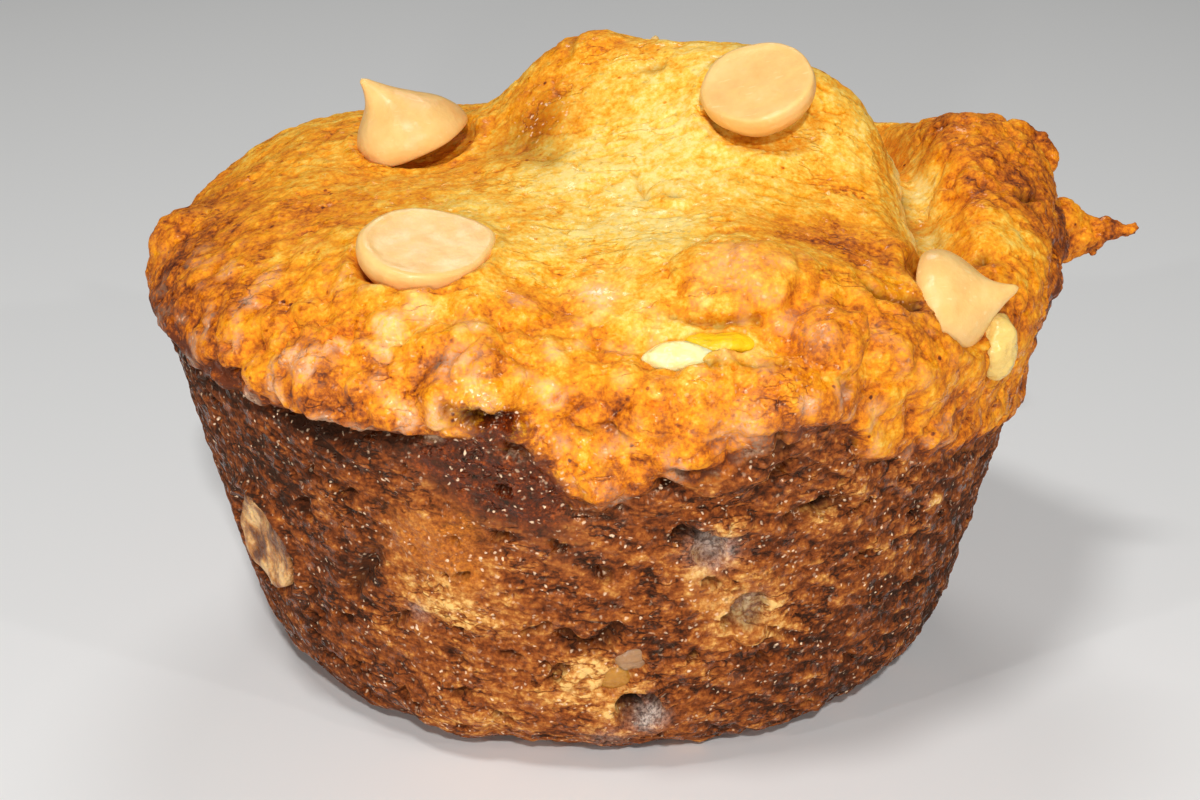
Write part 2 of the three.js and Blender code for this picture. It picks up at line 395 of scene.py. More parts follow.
# x, y, z, radius, depth: round hollows that steam left
HOLLOWS = [
    (2.7, -29.4, 5.9, 1.75, 4.6),
    (5.7, -33, 21.6, 0.95, 3),
    (6.6, -32.9, 21.5, 0.7, 2.4),
    (7.5, -32.6, 20, 1.3, 0.9),
    (6.6, -30.3, 10.8, 0.6, 1.2),
    (33.6, -7.2, 38.4, 0.8, 1.8),
    (33.3, -14.3, 33.5, 0.65, 1.6),
    (35.2, -9.2, 35.4, 1.1, 0.9),
    (10.5, -29.8, 14.5, 1.5, 0.8),
    (15.4, -29.9, 22.4, 0.8, 1.2),
]

# x, y, z, radius, height: soft pulp left standing in the hollows
PLUGS = [
    (3.2, -29.2, 5.3, 0.95, 2.7),
]


# bearing, height: where the crown ends and the dark wall that the tin shaped begins
TIN_LINE = [
    (-180, 30), (-152, 30), (-140, 29.1), (-110, 28.7), (-103, 29.3), (-99, 28.4),
    (-96, 26.5), (-93.5, 24.2), (-90, 24.2), (-87, 25.1), (-84, 26.7), (-79, 27.2),
    (-75, 28.4), (-71, 29.8), (-65, 29.7), (-61, 28), (-58.5, 25.9), (-52, 24.8),
    (-41, 23.3), (-22, 22), (10, 22.5), (50, 26), (100, 28.5), (180, 30),
]


def tin_line(angle):
    bearing, height = zip(*TIN_LINE)
    return np.interp(np.degrees(angle), bearing, height)


def seat(points, chip):
    """How far the crumb sinks under a chip, and the soft rim that it raises round it."""
    axis = np.asarray(chip["points"], float) / np.linalg.norm(chip["points"])
    radius = CHIP_RADIUS * chip["size"]
    offset = points - np.asarray(chip["foot"], float)
    along = offset @ axis
    across = np.linalg.norm(offset - along[:, None] * axis, axis=1)
    near = smooth(5.0, 2.5, np.abs(along))
    sunk = smooth(radius + chip.get("gap", 0.35), radius - 0.4, across) * near
    rim = bell(across - (radius + 0.85), 0.5) * near
    return sunk, rim


def lobe_distance(points, lobe):
    """Distance from a lobe's centre, 1 on its surface."""
    return np.linalg.norm((points - np.array(lobe[:3])) / np.array(lobe[3:]), axis=1)


def spots(points, places, warp):
    """Soft spots from a list of x, y, z, radius and amount."""
    total = np.zeros(len(points))
    for x, y, z, radius, amount in places:
        d = np.linalg.norm(points - np.array([x, y, z]), axis=1)
        total += amount * bell(np.maximum(d + warp, 0), radius)
    return total


def ridged(noise, p, size):
    """Thin winding lines, 1 on the line."""
    return 1 - np.clip(np.abs(noise.layered(p, size, 2)) / 0.16, 0, 1)


class Crumb:
    """The body's points, with the noises and regions that its relief and its colours share."""

    def __init__(self, mesh):
        p = read_points(mesh)
        a, b, c = Noise(3), Noise(11), Noise(29)
        self.noise_a, self.noise_b, self.noise_c = a, b, c
        self.points, self.normals = p, read_normals(mesh)
        self.angle = np.arctan2(p[:, 1], p[:, 0])
        self.x, self.y, self.z = p.T
        self.warp = np.stack([a(p, 3.0), b(p, 3.0), c(p, 3.0)], 1)
        self.wobble = np.stack([c(p, 1.1), a(p, 1.1), b(p, 1.1)], 1)

    def bearing(self, degrees, width):
        return around(self.angle, degrees, width)

    def distance(self, place):
        x, y, z = place
        return np.sqrt((self.x - x) ** 2 + (self.y - y) ** 2 + (self.z - z) ** 2)


def find_regions(c):
    """Where the crown, the wall and the base are, and how lumpy each place of the crown is."""
    c.above_line = c.z - tin_line(c.angle) + 0.6 * c.warp[:, 0] + 0.35 * c.wobble[:, 1]
    c.crown = smooth(-0.4, 0.35, c.above_line)
    c.wall = 1 - c.crown
    c.out = np.hypot(c.x, c.y)
    c.base = smooth(1.2, 0.2, c.z) * smooth(27, 24, c.out)
    c.lip = smooth(39, 33, c.z)
    c.front_left = c.bearing(-118, 34) * smooth(39.5, 35.5, c.z)
    c.front_right = c.bearing(-66, 22) * smooth(41, 37, c.z)
    c.collar = smooth(25.5, 28.5, c.x) * smooth(-17, -8, c.y) * smooth(16, 10, c.y)
    c.middle = bell(np.hypot(c.x - 2, (c.y + 15) * 0.8), 12)
    lumpy = 0.30 + 0.35 * c.lip + 0.95 * c.front_left + 0.35 * c.front_right + 0.6 * c.collar
    c.lumpy = np.clip(lumpy, 0, 1.4) * (1 - 0.6 * c.middle)


def find_crown_detail(c):
    """The lumps, wrinkles and fine crumb of the crown."""
    c.big = caps(cells(c.points + 0.5 * c.warp, 4.6, 5)[0])
    c.medium = caps(cells(c.points + 0.35 * c.warp, 2.4, 8)[0])
    c.small = caps(cells(c.points + 0.2 * c.warp, 1.2, 13)[0])
    stretched = (c.points + 0.6 * c.warp) * (0.45, 1, 1)
    share = smooth(-0.1, 0.35, c.noise_c(c.points, 5.0) + 0.25 * c.middle)
    c.wrinkles = ridged(c.noise_b, stretched, 2.4) ** 2 * share
    c.crumb = c.noise_c.layered(c.points, 1.4, 2) + 0.7 * c.noise_a.layered(c.points + 40, 0.75, 2)


def find_wall_detail(c):
    """The wall's grit, its flaky layers that lean to the right, its torn slits and its steam pits."""
    c.grit = c.noise_c.layered(c.points, 0.8, 2)
    c.grains = caps(cells(c.points + 0.3 * c.wobble, 0.95, 33)[0]) - 0.7
    lean = np.array([[1.0, 0, 0.5], [0, 1.0, 0], [-0.5, 0, 1.0]])
    oblique = c.points @ lean * (0.35, 0.6, 1.3)
    c.flaky = c.noise_a.layered(oblique + 0.4 * c.warp, 1.5, 3)
    c.right = c.bearing(-42, 44)
    share = smooth(0.05, 0.45, c.noise_b(c.points + 90, 4.2))
    c.tears = ridged(c.noise_c, oblique + 0.5 * c.warp, 3.0) ** 3 * share
    distance, pick = cells(c.points * (0.7, 1, 1.2) + 0.9 * c.wobble, 2.6, 21)
    c.pits = smooth(0.36, 0.18, distance) * (pick < 0.30)


def crown_lift(c):
    lumps = 0.85 * (c.big - 0.7) + 0.62 * (c.medium - 0.7) + 0.20 * (c.small - 0.7)
    lift = c.crown * (0.40 * c.noise_a.layered(c.points, 9.0, 2) - 0.15 + c.lumpy * lumps)
    return lift + c.crown * ((0.06 + 0.08 * c.lumpy) * c.crumb - 0.22 * c.wrinkles)


def wall_lift(c):
    swell = 0.22 * c.noise_b.layered(c.points, 7.0, 2)
    lift = c.wall * (swell + 0.08 * c.grit + 0.07 * c.grains + (0.12 + 0.16 * c.right) * c.flaky)
    lift -= c.wall * (1 - c.base) * 0.35 * c.tears
    return lift - (0.95 * c.wall * (1 - c.base) + 0.5 * c.crown * c.lumpy) * c.pits


def edge_lift(c):
    """The lip that rolls over the tin line, a second tier under it, and the ragged edge of the base."""
    left, right = c.bearing(-125, 50), c.bearing(-45, 30)
    lift = 0.6 * bell(c.above_line - 1.7, 1.3) * (0.45 + 0.55 * left + 0.5 * right)
    lift += 0.5 * bell(c.above_line + 2.2, 1.5) * c.bearing(-67, 9)
    lift -= 0.35 * bell(c.above_line + 0.5, 0.5) * (0.3 + 0.7 * left + 0.4 * right)
    ragged = np.clip(c.noise_a.layered(c.points, 4.0, 3), -1, 0.7)
    return lift + 0.5 * bell(c.z - 1.6, 1.6) * ragged * (c.out > 20)


def add_places(c, lift):
    """Works in the single lumps, grooves, hollows and plugs, and finds the painted shade of the grooves and
    the hollow places.
    """
    dark, hollow = np.zeros(len(lift)), np.zeros(len(lift))
    for *place, radius, height in LUMPS:
        d = c.distance(place) + 0.4 * c.warp[:, 0] + 0.25 * c.wobble[:, 0]
        lift += height * caps(d, radius * 1.25)
    for path, width, depth in GROOVES:
        d = path_distance(c.points + 0.35 * c.warp + 0.2 * c.wobble, path)
        lift -= depth * bell(d, width)
        # painted shade in the grooves
        dark += min(1.0, 0.9 * depth) * bell(d, width * 1.1)
    for *place, radius, depth in HOLLOWS:
        d = c.distance(place) + 0.25 * c.warp[:, 1] + 0.2 * c.wobble[:, 2]
        inside = smooth(radius * 1.12, radius * 0.78, d)
        lift -= depth * inside
        hollow = np.maximum(hollow, inside * min(1, depth / 2))
    for *place, radius, height in PLUGS:
        plug = caps(np.maximum(c.distance(place) + 0.15 * c.wobble[:, 1], 0), radius)
        lift += height * plug
        hollow *= 1 - np.minimum(1, 1.6 * plug)
    return lift, dark, hollow


def seat_pieces(c, lift, dark):
    """Sinks the crumb under the chips and the fruit, and paints shade on it round them."""
    for chip in CHIPS:
        sunk, rim = seat(c.points, chip)
        lift = lift * (1 - 0.7 * sunk) - chip.get("sink", 1.6) * sunk + chip.get("rim", 0.35) * rim
        # painted shade round the chips, where the crumb sinks and on its rim
        dark += 0.30 * sunk + 0.25 * rim * (c.wobble[:, 0] > 0.1)
    for lobe in (lobe for fruit in FRUITS for lobe in fruit["lobes"]):
        d = lobe_distance(c.points, lobe) + 0.10 * c.warp[:, 1] + 0.14 * c.wobble[:, 0]
        lift = lift * (1 - 0.8 * smooth(1.3, 0.9, d)) - 1.4 * smooth(1.25, 0.85, d)
        # painted shade round the fruit
        dark += 0.2 * smooth(1.3, 1.0, d)
    return lift, dark


def crown_browning_and_shade(c, p, lit_tops, soft):
    """How brown the crown is at each moved point, with painted shade in its creases and wrinkles and a
    painted highlight on the tops of its lumps.
    """
    toast_and_shade = 0.40 + 0.17 * c.lip + 0.26 * c.collar - 0.32 * c.middle + 0.15 * c.noise_a.layered(p, 5.5, 2)
    toast_and_shade += 0.16 * c.bearing(190, 28) * smooth(41, 36, c.z)
    # browner in the creases between the medium lumps: partly amber crust and partly painted shade
    toast_and_shade += 0.10 * c.noise_b(p, 1.6) + 0.20 * np.clip(0.85 - c.medium, 0, 1) * c.lumpy
    # darker in the wrinkles and in the low spots of the crumb: painted shade
    toast_and_shade += 0.20 * c.wrinkles + 0.10 * np.clip(-c.crumb, -0.6, 1)
    toast_and_shade += spots(p, TOASTED, soft)
    # the crown browner just above the tin line, and the lumps' tops at the front left a little lighter: a
    # painted highlight
    toast_and_shade += 0.42 * smooth(2.0, -0.4, c.above_line) * c.crown - 0.03 * c.front_left * lit_tops
    toast_and_shade += 0.18 * smooth(4.5, 0.0, c.above_line) * c.crown * c.bearing(-142, 34)
    for path, width, change in STREAKS:
        toast_and_shade += change * bell(path_distance(p + 0.4 * c.warp, path), width)
    return toast_and_shade


def wall_tone(c, p):
    """How pale the wall is at each moved point, with painted light and shade that follow its relief and a
    painted shadow under the lip.
    """
    tone = 0.42 + 0.13 * c.noise_a.layered(p, 6.0, 3) + 0.10 * c.noise_c(p, 1.2)
    # paler where the flakes, grains and grit stand up and darker in the torn slits: painted light and shade
    # that follow the relief
    tone += (0.10 + 0.24 * c.right) * c.flaky + 0.12 * c.grains - 0.30 * c.tears + 0.10 * c.grit
    # darker towards the wall's left and right as seen from the front: painted shade where the light falls off
    tone -= 0.10 * c.bearing(-150, 30) + 0.12 * c.bearing(-22, 30)
    tone += spots(p, BAKED, 1.1 * c.warp[:, 0] + 0.3 * c.wobble[:, 1])
    # a painted shadow under the lip on the left
    return tone - 0.25 * bell(c.above_line + 0.8, 1.0) * c.bearing(-130, 45)


def shape_body(body):
    mesh = body.data
    c = Crumb(mesh)
    find_regions(c)
    find_crown_detail(c)
    find_wall_detail(c)
    lift, dark, hollow = add_places(c, crown_lift(c) + wall_lift(c) + edge_lift(c))
    lift, dark = seat_pieces(c, lift * (1 - 0.9 * c.base), dark)
    p = c.points + c.normals * lift[:, None]
    p[:, 2] = np.maximum(p[:, 2], 0.0)
    set_shape(mesh, p)

    soft = 0.9 * c.warp[:, 2] + 0.3 * c.wobble[:, 0]
    # painted highlights: pale patches on the tops of the lumps at the front and on the lip roll, with the
    # listed spots
    lit_tops = smooth(0.72, 0.95, c.medium) * smooth(-0.25, 0.35, c.noise_b(p, 2.6) + 0.5 * c.wobble[:, 2])
    roll = bell(c.above_line - 2.2, 1.6) * c.bearing(-62, 16)
    painted_highlight = 0.6 * lit_tops * (c.front_left + 0.8 * roll + 0.3 * c.front_right) + spots(p, PAINTED_HIGHLIGHTS, soft)
    masks = {
        "painted_highlight": c.crown * np.clip(painted_highlight, 0, 1),
        "crown": c.crown,
        "toast_and_shade": crown_browning_and_shade(c, p, lit_tops, soft),
        "wall_tone_and_shade": wall_tone(c, p),
        # painted shade: in the grooves, the steam pits and torn slits of the wall, and round the chips and
        # the fruit
        "dark": dark + 0.8 * c.wall * c.pits + 0.5 * c.wall * c.tears,
        "wet": spots(p, WET, soft),
        "caramel": spots(p, CARAMEL, 0.8 * soft),
        "amber": spots(p, AMBER, soft),
        "ash": spots(p, ASH, 0.4 * soft),
        # painted shade in the holes
        "hollow": 1.4 * hollow,
    }
    for name, values in masks.items():
        write_mask(mesh, name, np.clip(values, 0, 1))


# x, y, z, radius, change of browning on the crown
TOASTED = [
    (13, -23, 40.5, 5, 0.14),
    (18, -20, 40, 5, 0.10),
    (15, -31.5, 35.5, 3, 0.10),
    (-24, -16, 39, 8, 0.06),
    (-1.5, 1.5, 48.5, 4.5, 0.12),
    (41, 3.6, 32.8, 4.5, -0.22),
    (-5.6, -2.6, 44.8, 2.6, 0.34),
    (-7.6, -1.4, 44.6, 1.6, 0.2),
    (9, -27.6, 39, 3.4, 0.24),
    (15.6, -30.6, 35.6, 3, 0.06),
    (8, -35, 30, 4, 0.12),
    (0, -34.8, 26, 2.4, 0.16),
    (-31, -6, 39.6, 5, 0.10),
    (-32, -17, 33.5, 6, 0.08),
    (12, 3, 48, 6, -0.15),
    (20, -6, 43, 5, -0.12),
    (25, -3, 39.5, 2.4, -0.3),
    (24.8, -11, 37, 2.2, -0.3),
    (30.9, -13.7, 36.9, 2.6, -0.3),
    (-3, -32, 35, 4.5, -0.06),
    (0, -35, 28.6, 3.2, 0.10),
    (-0.3, -34.8, 26, 1, -0.30),
    (-3, -30, 36, 3.5, 0.1),
    (-6, -35.2, 30.6, 3, -0.12),
    (-13, -32.6, 33, 4, -0.10),
    (-29, -17, 33, 5, 0.1),
    (-2.5, -10.9, 42.2, 3, -0.12),
    (5.4, -21, 40.6, 2.6, -0.15),
    (7, -32.6, 35, 3.5, -0.3),
]

# x, y, z, radius, change of tone on the wall: up is yellower, down is darker
BAKED = [
    (-12.1, -31.2, 20.3, 2.6, 0.16),
    (-14, -30.6, 21.6, 2, 0.1),
    (-12.7, -29.6, 15.8, 2.8, 0.36),
    (-9.5, -30.2, 14.8, 2.8, 0.35),
    (-6.7, -31, 14.7, 2, 0.2),
    (-0.9, -30, 8.1, 3, 0.45),
    (1, -29.5, 6, 2.2, 0.3),
    (8, -31, 16.2, 2, 0.4),
    (10.4, -29.8, 13.4, 2.2, 0.4),
    (12.6, -28.6, 13, 1.8, 0.35),
    (7.4, -32.4, 19.4, 1.9, 0.3),
    (8.2, -32.8, 22.4, 1.3, 0.45),
    (15.5, -29.9, 21.4, 0.8, 0.4),
    (-20.5, -27.5, 21, 1.6, 0.25),
    (-9, -27.5, 6, 7, 0.22),
    (12, -30, 18, 9, 0.07),
    (16, -30, 26, 5, 0.10),
    (25, -22, 19.6, 0.9, 0.4),
    (18, -24, 8, 5, -0.1),
    (-24, -24, 25, 6, -0.08),
]

# x, y, z, radius, amount of places that stay wet
WET = [
    (-0.3, -35.2, 27.2, 2.4, 0.9),
    (-6, -34.8, 27.6, 3.6, 0.8),
    (-5, -3, 44.8, 2.6, 1),
    (7, -33, 35, 3.2, 0.8),
    (-0.2, -27.4, 37.6, 1.3, 1),
    (20.6, -26, 36.8, 1.8, 0.8),
    (7.6, -31.6, 17, 1.3, 0.8),
    (-12, -31, 20, 2.8, 0.8),
    (-8, -35.4, 31.2, 1.8, 1),
    (-9, -34, 33.5, 3.5, 0.5),
    (-14, -32, 32, 4, 0.4),
    (12, -34, 31, 4, 0.4),
    (14.9, -31.8, 34.7, 2.4, 0.5),
    (8, -32.5, 20, 2, 0.5),
]

# x, y, z, radius, amount of painted highlight on the crown's lumps
PAINTED_HIGHLIGHTS = [
    (9, -28.2, 39.2, 1.6, 0.5),
    (11.6, -28, 39.2, 0.9, 0.5),
    (-0.6, -27.4, 37.6, 1.1, 1),
    (14.6, -32.6, 35.6, 0.9, 0.4),
    (9.5, -35, 30.8, 1.6, 0.4),
    (-9.6, -34.2, 34.4, 1.3, 0.5),
    (-20, -30, 33.6, 1.2, 0.4),
    (0.2, -35.2, 26, 0.7, 0.7),
]

# x, y, z, radius, amount of dark boiled sugar
CARAMEL = [
    (-6.8, -34.9, 30.6, 1.5, 0.8),
    (-7.4, -33.8, 26.2, 3.6, 1),
    (-11.5, -33.2, 27, 2.6, 0.6),
    (-4.6, -34.3, 24.6, 2.4, 0.8),
    (-2.6, -32.5, 20.8, 3, 0.35),
    (7.6, -31.8, 17.2, 1.6, 0.4),
    (-8.8, -35.2, 32, 0.9, 0.6),
]

# x, y, z, radius, amount of clear orange jelly
AMBER = [
    (-12, -31.1, 19.8, 2.6, 1.3),
    (-10.6, -31.6, 21.4, 1.5, 0.7),
    (-9.6, -31.4, 18, 1.3, 0.6),
    (8.2, -31.6, 16, 1.6, 0.6),
    (11.5, -29.2, 13, 1.2, 0.6),
    (-0.8, -34.6, 26, 1.2, 0.5),
    (-5, -2.8, 44.9, 2.4, 0.75),
    (1, -29.4, 8.2, 1.3, 0.5),
]

# x, y, z, radius, amount of grey web
ASH = [
    (3.2, -28.3, 5.2, 1, 1.5),
    (7.6, -32.3, 20, 1.4, 0.8),
    (0.4, -28, 2.2, 1.6, 0.4),
    (10.4, -29.6, 14.8, 1.2, 0.35),
    (-13.4, -28.9, 13.6, 0.8, 0.4),
]

# path, width, change of browning
STREAKS = [
    ([(9.9, -32.2, 35.1), (12, -32.8, 34.3), (15, -33.2, 33)], 0.7, -0.35),
    ([(23.2, 4, 41), (23.4, -6, 39.4), (23.7, -14, 36.8)], 1.1, -0.25),
    ([(25.2, 3, 39.5), (25.6, -5, 38.2), (25.2, -11.5, 36.4)], 1.1, -0.22),
    ([(-5.2, -27.8, 37.5), (-2.9, -29, 36.7), (-0.8, -30.7, 35.8), (0.9, -32.2, 34.9)], 0.9, 0.22),
    ([(-16.9, -30.1, 35.4), (-16, -31.5, 34.5), (-14.8, -32.8, 33.2)], 0.8, 0.20),
    ([(-10.9, -31, 36.3), (-9, -30.3, 36.8), (-7, -29.5, 37), (-5.2, -28.4, 37.2)], 0.8, 0.20),
    ([(6.8, -24.9, 39.8), (5.8, -27.9, 38.5), (6.6, -30, 37), (8.6, -30.7, 36.4)], 0.7, 0.20),
    ([(13.4, -21.2, 39.9), (16.3, -20.7, 39.3), (19.5, -21.4, 38.4)], 1.1, 0.16),
    ([(17.7, -27.6, 37), (19.4, -28.5, 35.1), (20.7, -29.8, 33.4)], 0.9, 0.16),
    ([(-29.5, -4.1, 40), (-26.4, -8.8, 40), (-22.9, -12, 40)], 1.6, 0.10),
    ([(-1.4, -35.3, 29.4), (-1, -34.9, 26.6)], 0.4, -0.30),
    ([(1.3, -35.2, 28.9), (1, -34.8, 25.6)], 0.35, -0.25),
]


# ---- chips

CHIP_RADIUS = 4.8
CHIP_PROFILE = [
    (4.40, 0), (4.66, 0.10), (4.79, 0.42), (4.8, 0.9), (4.6, 1.7), (4, 2.6), (3.2, 3.4),
    (2.35, 4.1), (1.6, 4.85), (1.05, 5.6), (0.64, 6.25), (0.36, 6.75), (0, 7),
]
CHIPS = [
    dict(name="chip_upright_left", foot=(-15, 1.2, 41.4), points=(-0.36, -0.1, 0.93), size=0.94,
         lean=(-1.5, 0), curl=(-0.6, 0), sink=0.9, rim=0.3),
    dict(name="chip_flat_front", foot=(-12.6, -23.4, 39.9), points=(-0.09, 0.30, -0.95), size=0.95,
         point=12, sink=1.4),
    dict(name="chip_flat_back", foot=(11.6, -8.8, 48.4), points=(0.25, 0.5, -0.83), size=0.91,
         sink=0.8, gap=0.05),
    dict(name="chip_side_right", foot=(24, -20.6, 34.1), points=(0.88, -0.40, 0.26), size=0.86,
         curl=(0.3, 1.3), sink=0.9, rim=0.2),
    dict(name="chip_in_wall", foot=(-26, -18.5, 14.9), points=(0.8, 0.58, 0.1), size=0.8,
         sink=0.5, gap=-0.1, rim=0.6, rough=0.45),
    dict(name="chip_rear_upright", foot=(5, 25, 39.6), points=(-0.1, 0.35, 0.93), size=0.93,
         curl=(0.5, 0.3), sink=0.9),
    dict(name="chip_rear_flat", foot=(15.5, 20.5, 40.2), points=(-0.2, -0.3, -0.93), size=0.96),
]


def smooth_profile(points, steps):
    """A rounded line through the profile's points, evenly stepped."""
    pts = np.array([points[0]] + list(points) + [points[-1]], float)
    out = []
    for i in range(1, len(pts) - 2):
        a, b, c, d = pts[i - 1 : i + 3]
        for t in np.linspace(0, 1, steps, endpoint=False):
            square, cube = 2 * a - 5 * b + 4 * c - d, 3 * b - a - 3 * c + d
            out.append(0.5 * (2 * b + (c - a) * t + square * t**2 + cube * t**3))
    out.append(pts[-1])
    return np.array(out)


def chip_object(chip, seed):
    """A piped chip: a flat foot, proud at one edge, a hollow flank and a tip that drooped as it set."""
    turns = 112
    angle = np.linspace(0, 2 * math.pi, turns, endpoint=False)
    flank = smooth_profile(CHIP_PROFILE, 7)[:-1]
    face = [(r, 0.06 * (1 - (r / 4.4) ** 2)) for r in np.linspace(0.15, 4.3, 28)]
    rows = face + [tuple(q) for q in flank]
    grid = []
    height = CHIP_PROFILE[-1][1]
    curl, lean = chip.get("curl", (0, 0)), chip.get("lean", (0, 0))
    for r, z in rows:
        widen = 1 + 0.02 * np.sin(2 * angle + seed) + 0.012 * np.sin(5 * angle + 2.0 * seed)
        if chip.get("point"):
            widen = widen + 0.15 * around(angle, chip["point"], 26)
        rr = r * widen
        droop = max(0.0, (z - 0.35 * height) / (0.65 * height)) ** 2
        x = rr * np.cos(angle) + curl[0] * 1.3 * droop + lean[0] * z / height
        y = rr * np.sin(angle) + curl[1] * 1.3 * droop + lean[1] * z / height
        edge = 0.14 * math.exp(-(((r - 4.2) / 0.45) ** 2)) * (z < 0.3) * around(angle, 215, 70)
        grid.append(np.stack([x, y, z - edge], -1))
    mesh = closed_mesh(chip["name"] + "_candy", np.array(grid))
    p, n = read_points(mesh), read_normals(mesh)
    noise = Noise(40 + seed)
    p += n * (chip.get("rough", 0.05) * noise.layered(p, 3.2, 2) + 0.012 * noise(p, 0.6))[:, None]
    axis = Vector(chip["points"]).normalized()
    turn = np.array(Vector((0, 0, 1)).rotation_difference(axis).to_matrix())
    p = p * chip["size"] @ turn.T + np.array(chip["foot"], float)
    set_shape(mesh, p)
    return new_object(chip["name"] + "_candy", mesh)


# ---- fruit

FRUITS = [  # each lobe: x, y, z and the three radii
    dict(name="fruit_crease_front",
         lobes=[(5.2, -32.4, 34.3, 2.5, 1.3, 1), (7.8, -31.4, 34.85, 2.4, 1.3, 0.85)]),
    dict(name="fruit_split_right", lobes=[(28.7, -21, 31.3, 1.5, 1.5, 2.6)]),
    dict(name="fruit_wall_low",
         lobes=[(1.9, -29.35, 11.4, 1.8, 1.3, 2.1), (0.9, -29.05, 9.3, 1.6, 1.25, 1.6)]),
]


def fruit_object(fruit, seed):
    """A soft torn lump of fruit."""
    turns, rows = 120, 70
    angle = np.linspace(0, 2 * math.pi, turns, endpoint=False)
    grids, ripe = [], []
    for k, lobe in enumerate(fruit["lobes"]):
        grid = []
        for a in np.linspace(-math.pi / 2, math.pi / 2, rows + 2)[1:-1]:
            ring = [np.cos(angle) * math.cos(a), np.sin(angle) * math.cos(a), np.full(turns, math.sin(a))]
            grid.append(np.stack(ring, -1) * np.array(lobe[3:]) + np.array(lobe[:3]))
        grids.append(np.array(grid))
        ripe.append(np.full(rows * turns + 2, float(k)))
    mesh = closed_mesh(fruit["name"] + "_flesh", *grids)
    p, n = read_points(mesh), read_normals(mesh)
    noise = Noise(70 + seed)
    fibres = noise.layered(p * (0.4, 1, 1), 0.9, 2)
    p += n * (0.22 * noise.layered(p, 2.0, 3) + 0.08 * fibres)[:, None]
    set_shape(mesh, p)
    write_mask(mesh, "ripe", np.concatenate(ripe))
    return new_object(fruit["name"] + "_flesh", mesh)


# ---- materials

class Nodes:
    """Short ways to build a material's node tree. Positions are in millimetres of the object."""

    def __init__(self, name):
        self.material = bpy.data.materials.new(name)
        self.material.use_nodes = True
        self.tree = self.material.node_tree
        self.shader = next(n for n in self.tree.nodes if n.type == "BSDF_PRINCIPLED")
        where = self.node("ShaderNodeTexCoord").outputs["Object"]
        scaled = self.node("ShaderNodeVectorMath", {0: where, "Scale": 1 / MM}, operation="SCALE")
        self.position = scaled.outputs[0]
        stir = self.node("ShaderNodeTexNoise", {"Vector": self.position, "Scale": 0.9, "Detail": 3.0})
        sway = {0: stir.outputs["Color"], 1: (1.1, 1.1, 1.1), 2: self.position}
        self.stirred = self.node("ShaderNodeVectorMath", sway, operation="MULTIPLY_ADD").outputs[0]

    def node(self, kind, inputs=(), **settings):
        """A new node, with its settings made and each input linked or given its value."""
        made = self.tree.nodes.new(kind)
        for key, value in settings.items():
            setattr(made, key, value)
        for key, value in dict(inputs).items():
            self.put(made.inputs[key], value)
        return made

    def put(self, socket, value):
        if isinstance(value, bpy.types.NodeSocket):
            self.tree.links.new(value, socket)
        else:
            socket.default_value = value

    def mask(self, name):
        return self.node("ShaderNodeAttribute", attribute_name=name).outputs["Fac"]

    def noise(self, size, detail=3.0, rough=0.55, stretch=None):
        position = self.position
        if stretch:
            scaled = self.node("ShaderNodeVectorMath", {0: position, 1: stretch}, operation="MULTIPLY")
            position = scaled.outputs[0]
        inputs = {"Vector": position, "Scale": 1 / size, "Detail": detail, "Roughness": rough}
        return self.node("ShaderNodeTexNoise", inputs).outputs["Fac"]

    def cells(self, size):
        inputs = {"Vector": self.position, "Scale": 1 / size}
        return self.node("ShaderNodeTexVoronoi", inputs).outputs["Distance"]

    def crumbs(self, size):
        """Scattered grains: the distance to the nearest, and a number of its own for each."""
        made = self.node("ShaderNodeTexVoronoi", {"Vector": self.stirred, "Scale": 1 / size})
        parts = self.node("ShaderNodeSeparateColor", {0: made.outputs["Color"]})
        return made.outputs["Distance"], parts.outputs[0]

    def lines(self, size, width, stretch, share):
        """Thin broken winding lines, 1 on the line, over about the given share of the surface."""
        away = self.math("ABSOLUTE", self.math("SUBTRACT", self.noise(size, 3, 0.6, stretch=stretch), 0.5))
        line, gap = self.steps(away, width, 0.0), 0.62 - share * 0.3
        return self.times(line, self.steps(self.noise(2.4 * size, 2), gap, gap + 0.08))

    def math(self, operation, a, b=0.0, clamp=False):
        return self.node("ShaderNodeMath", {0: a, 1: b}, operation=operation, use_clamp=clamp).outputs[0]

    def total(self, *values):
        return functools.reduce(lambda a, b: self.math("ADD", a, b), values)

    def times(self, a, b):
        return self.math("MULTIPLY", a, b)

    def most(self, *values):
        return functools.reduce(lambda a, b: self.math("MAXIMUM", a, b), values)

    def steps(self, value, low, high, to_low=0.0, to_high=1.0):
        """The value, with low to high spread over to_low to to_high and held at both ends."""
        inputs = {"Value": value, "From Min": low, "From Max": high, "To Min": to_low, "To Max": to_high}
        return self.node("ShaderNodeMapRange", inputs).outputs[0]

    def ramp(self, value, stops):
        made = self.node("ShaderNodeValToRGB", {"Fac": value})
        elements = made.color_ramp.elements
        while len(elements) > 1:
            elements.remove(elements[-1])
        for i, (place, colour) in enumerate(stops):
            element = elements[0] if i == 0 else elements.new(place)
            element.position = place
            element.color = (*colour, 1)
        return made.outputs["Color"]

    def mix(self, share, *colours):
        a, b = (c if isinstance(c, bpy.types.NodeSocket) else (*c, 1) for c in colours)
        made = self.node("ShaderNodeMix", {"Factor": share, "A": a, "B": b}, data_type="RGBA")
        return made.outputs["Result"]

    def blend(self, share, a, b):
        """A number that goes from a to b."""
        made = self.node("ShaderNodeMix", {"Factor": share, "A": a, "B": b}, data_type="FLOAT")
        return made.outputs["Result"]

    def bump(self, height, distance):
        inputs = {"Height": height, "Distance": distance * MM, "Strength": 1.0}
        return self.node("ShaderNodeBump", inputs).outputs["Normal"]

    def surface(self, **values):
        for key, value in values.items():
            self.put(self.shader.inputs[key.replace("_", " ")], value)
        return self.material


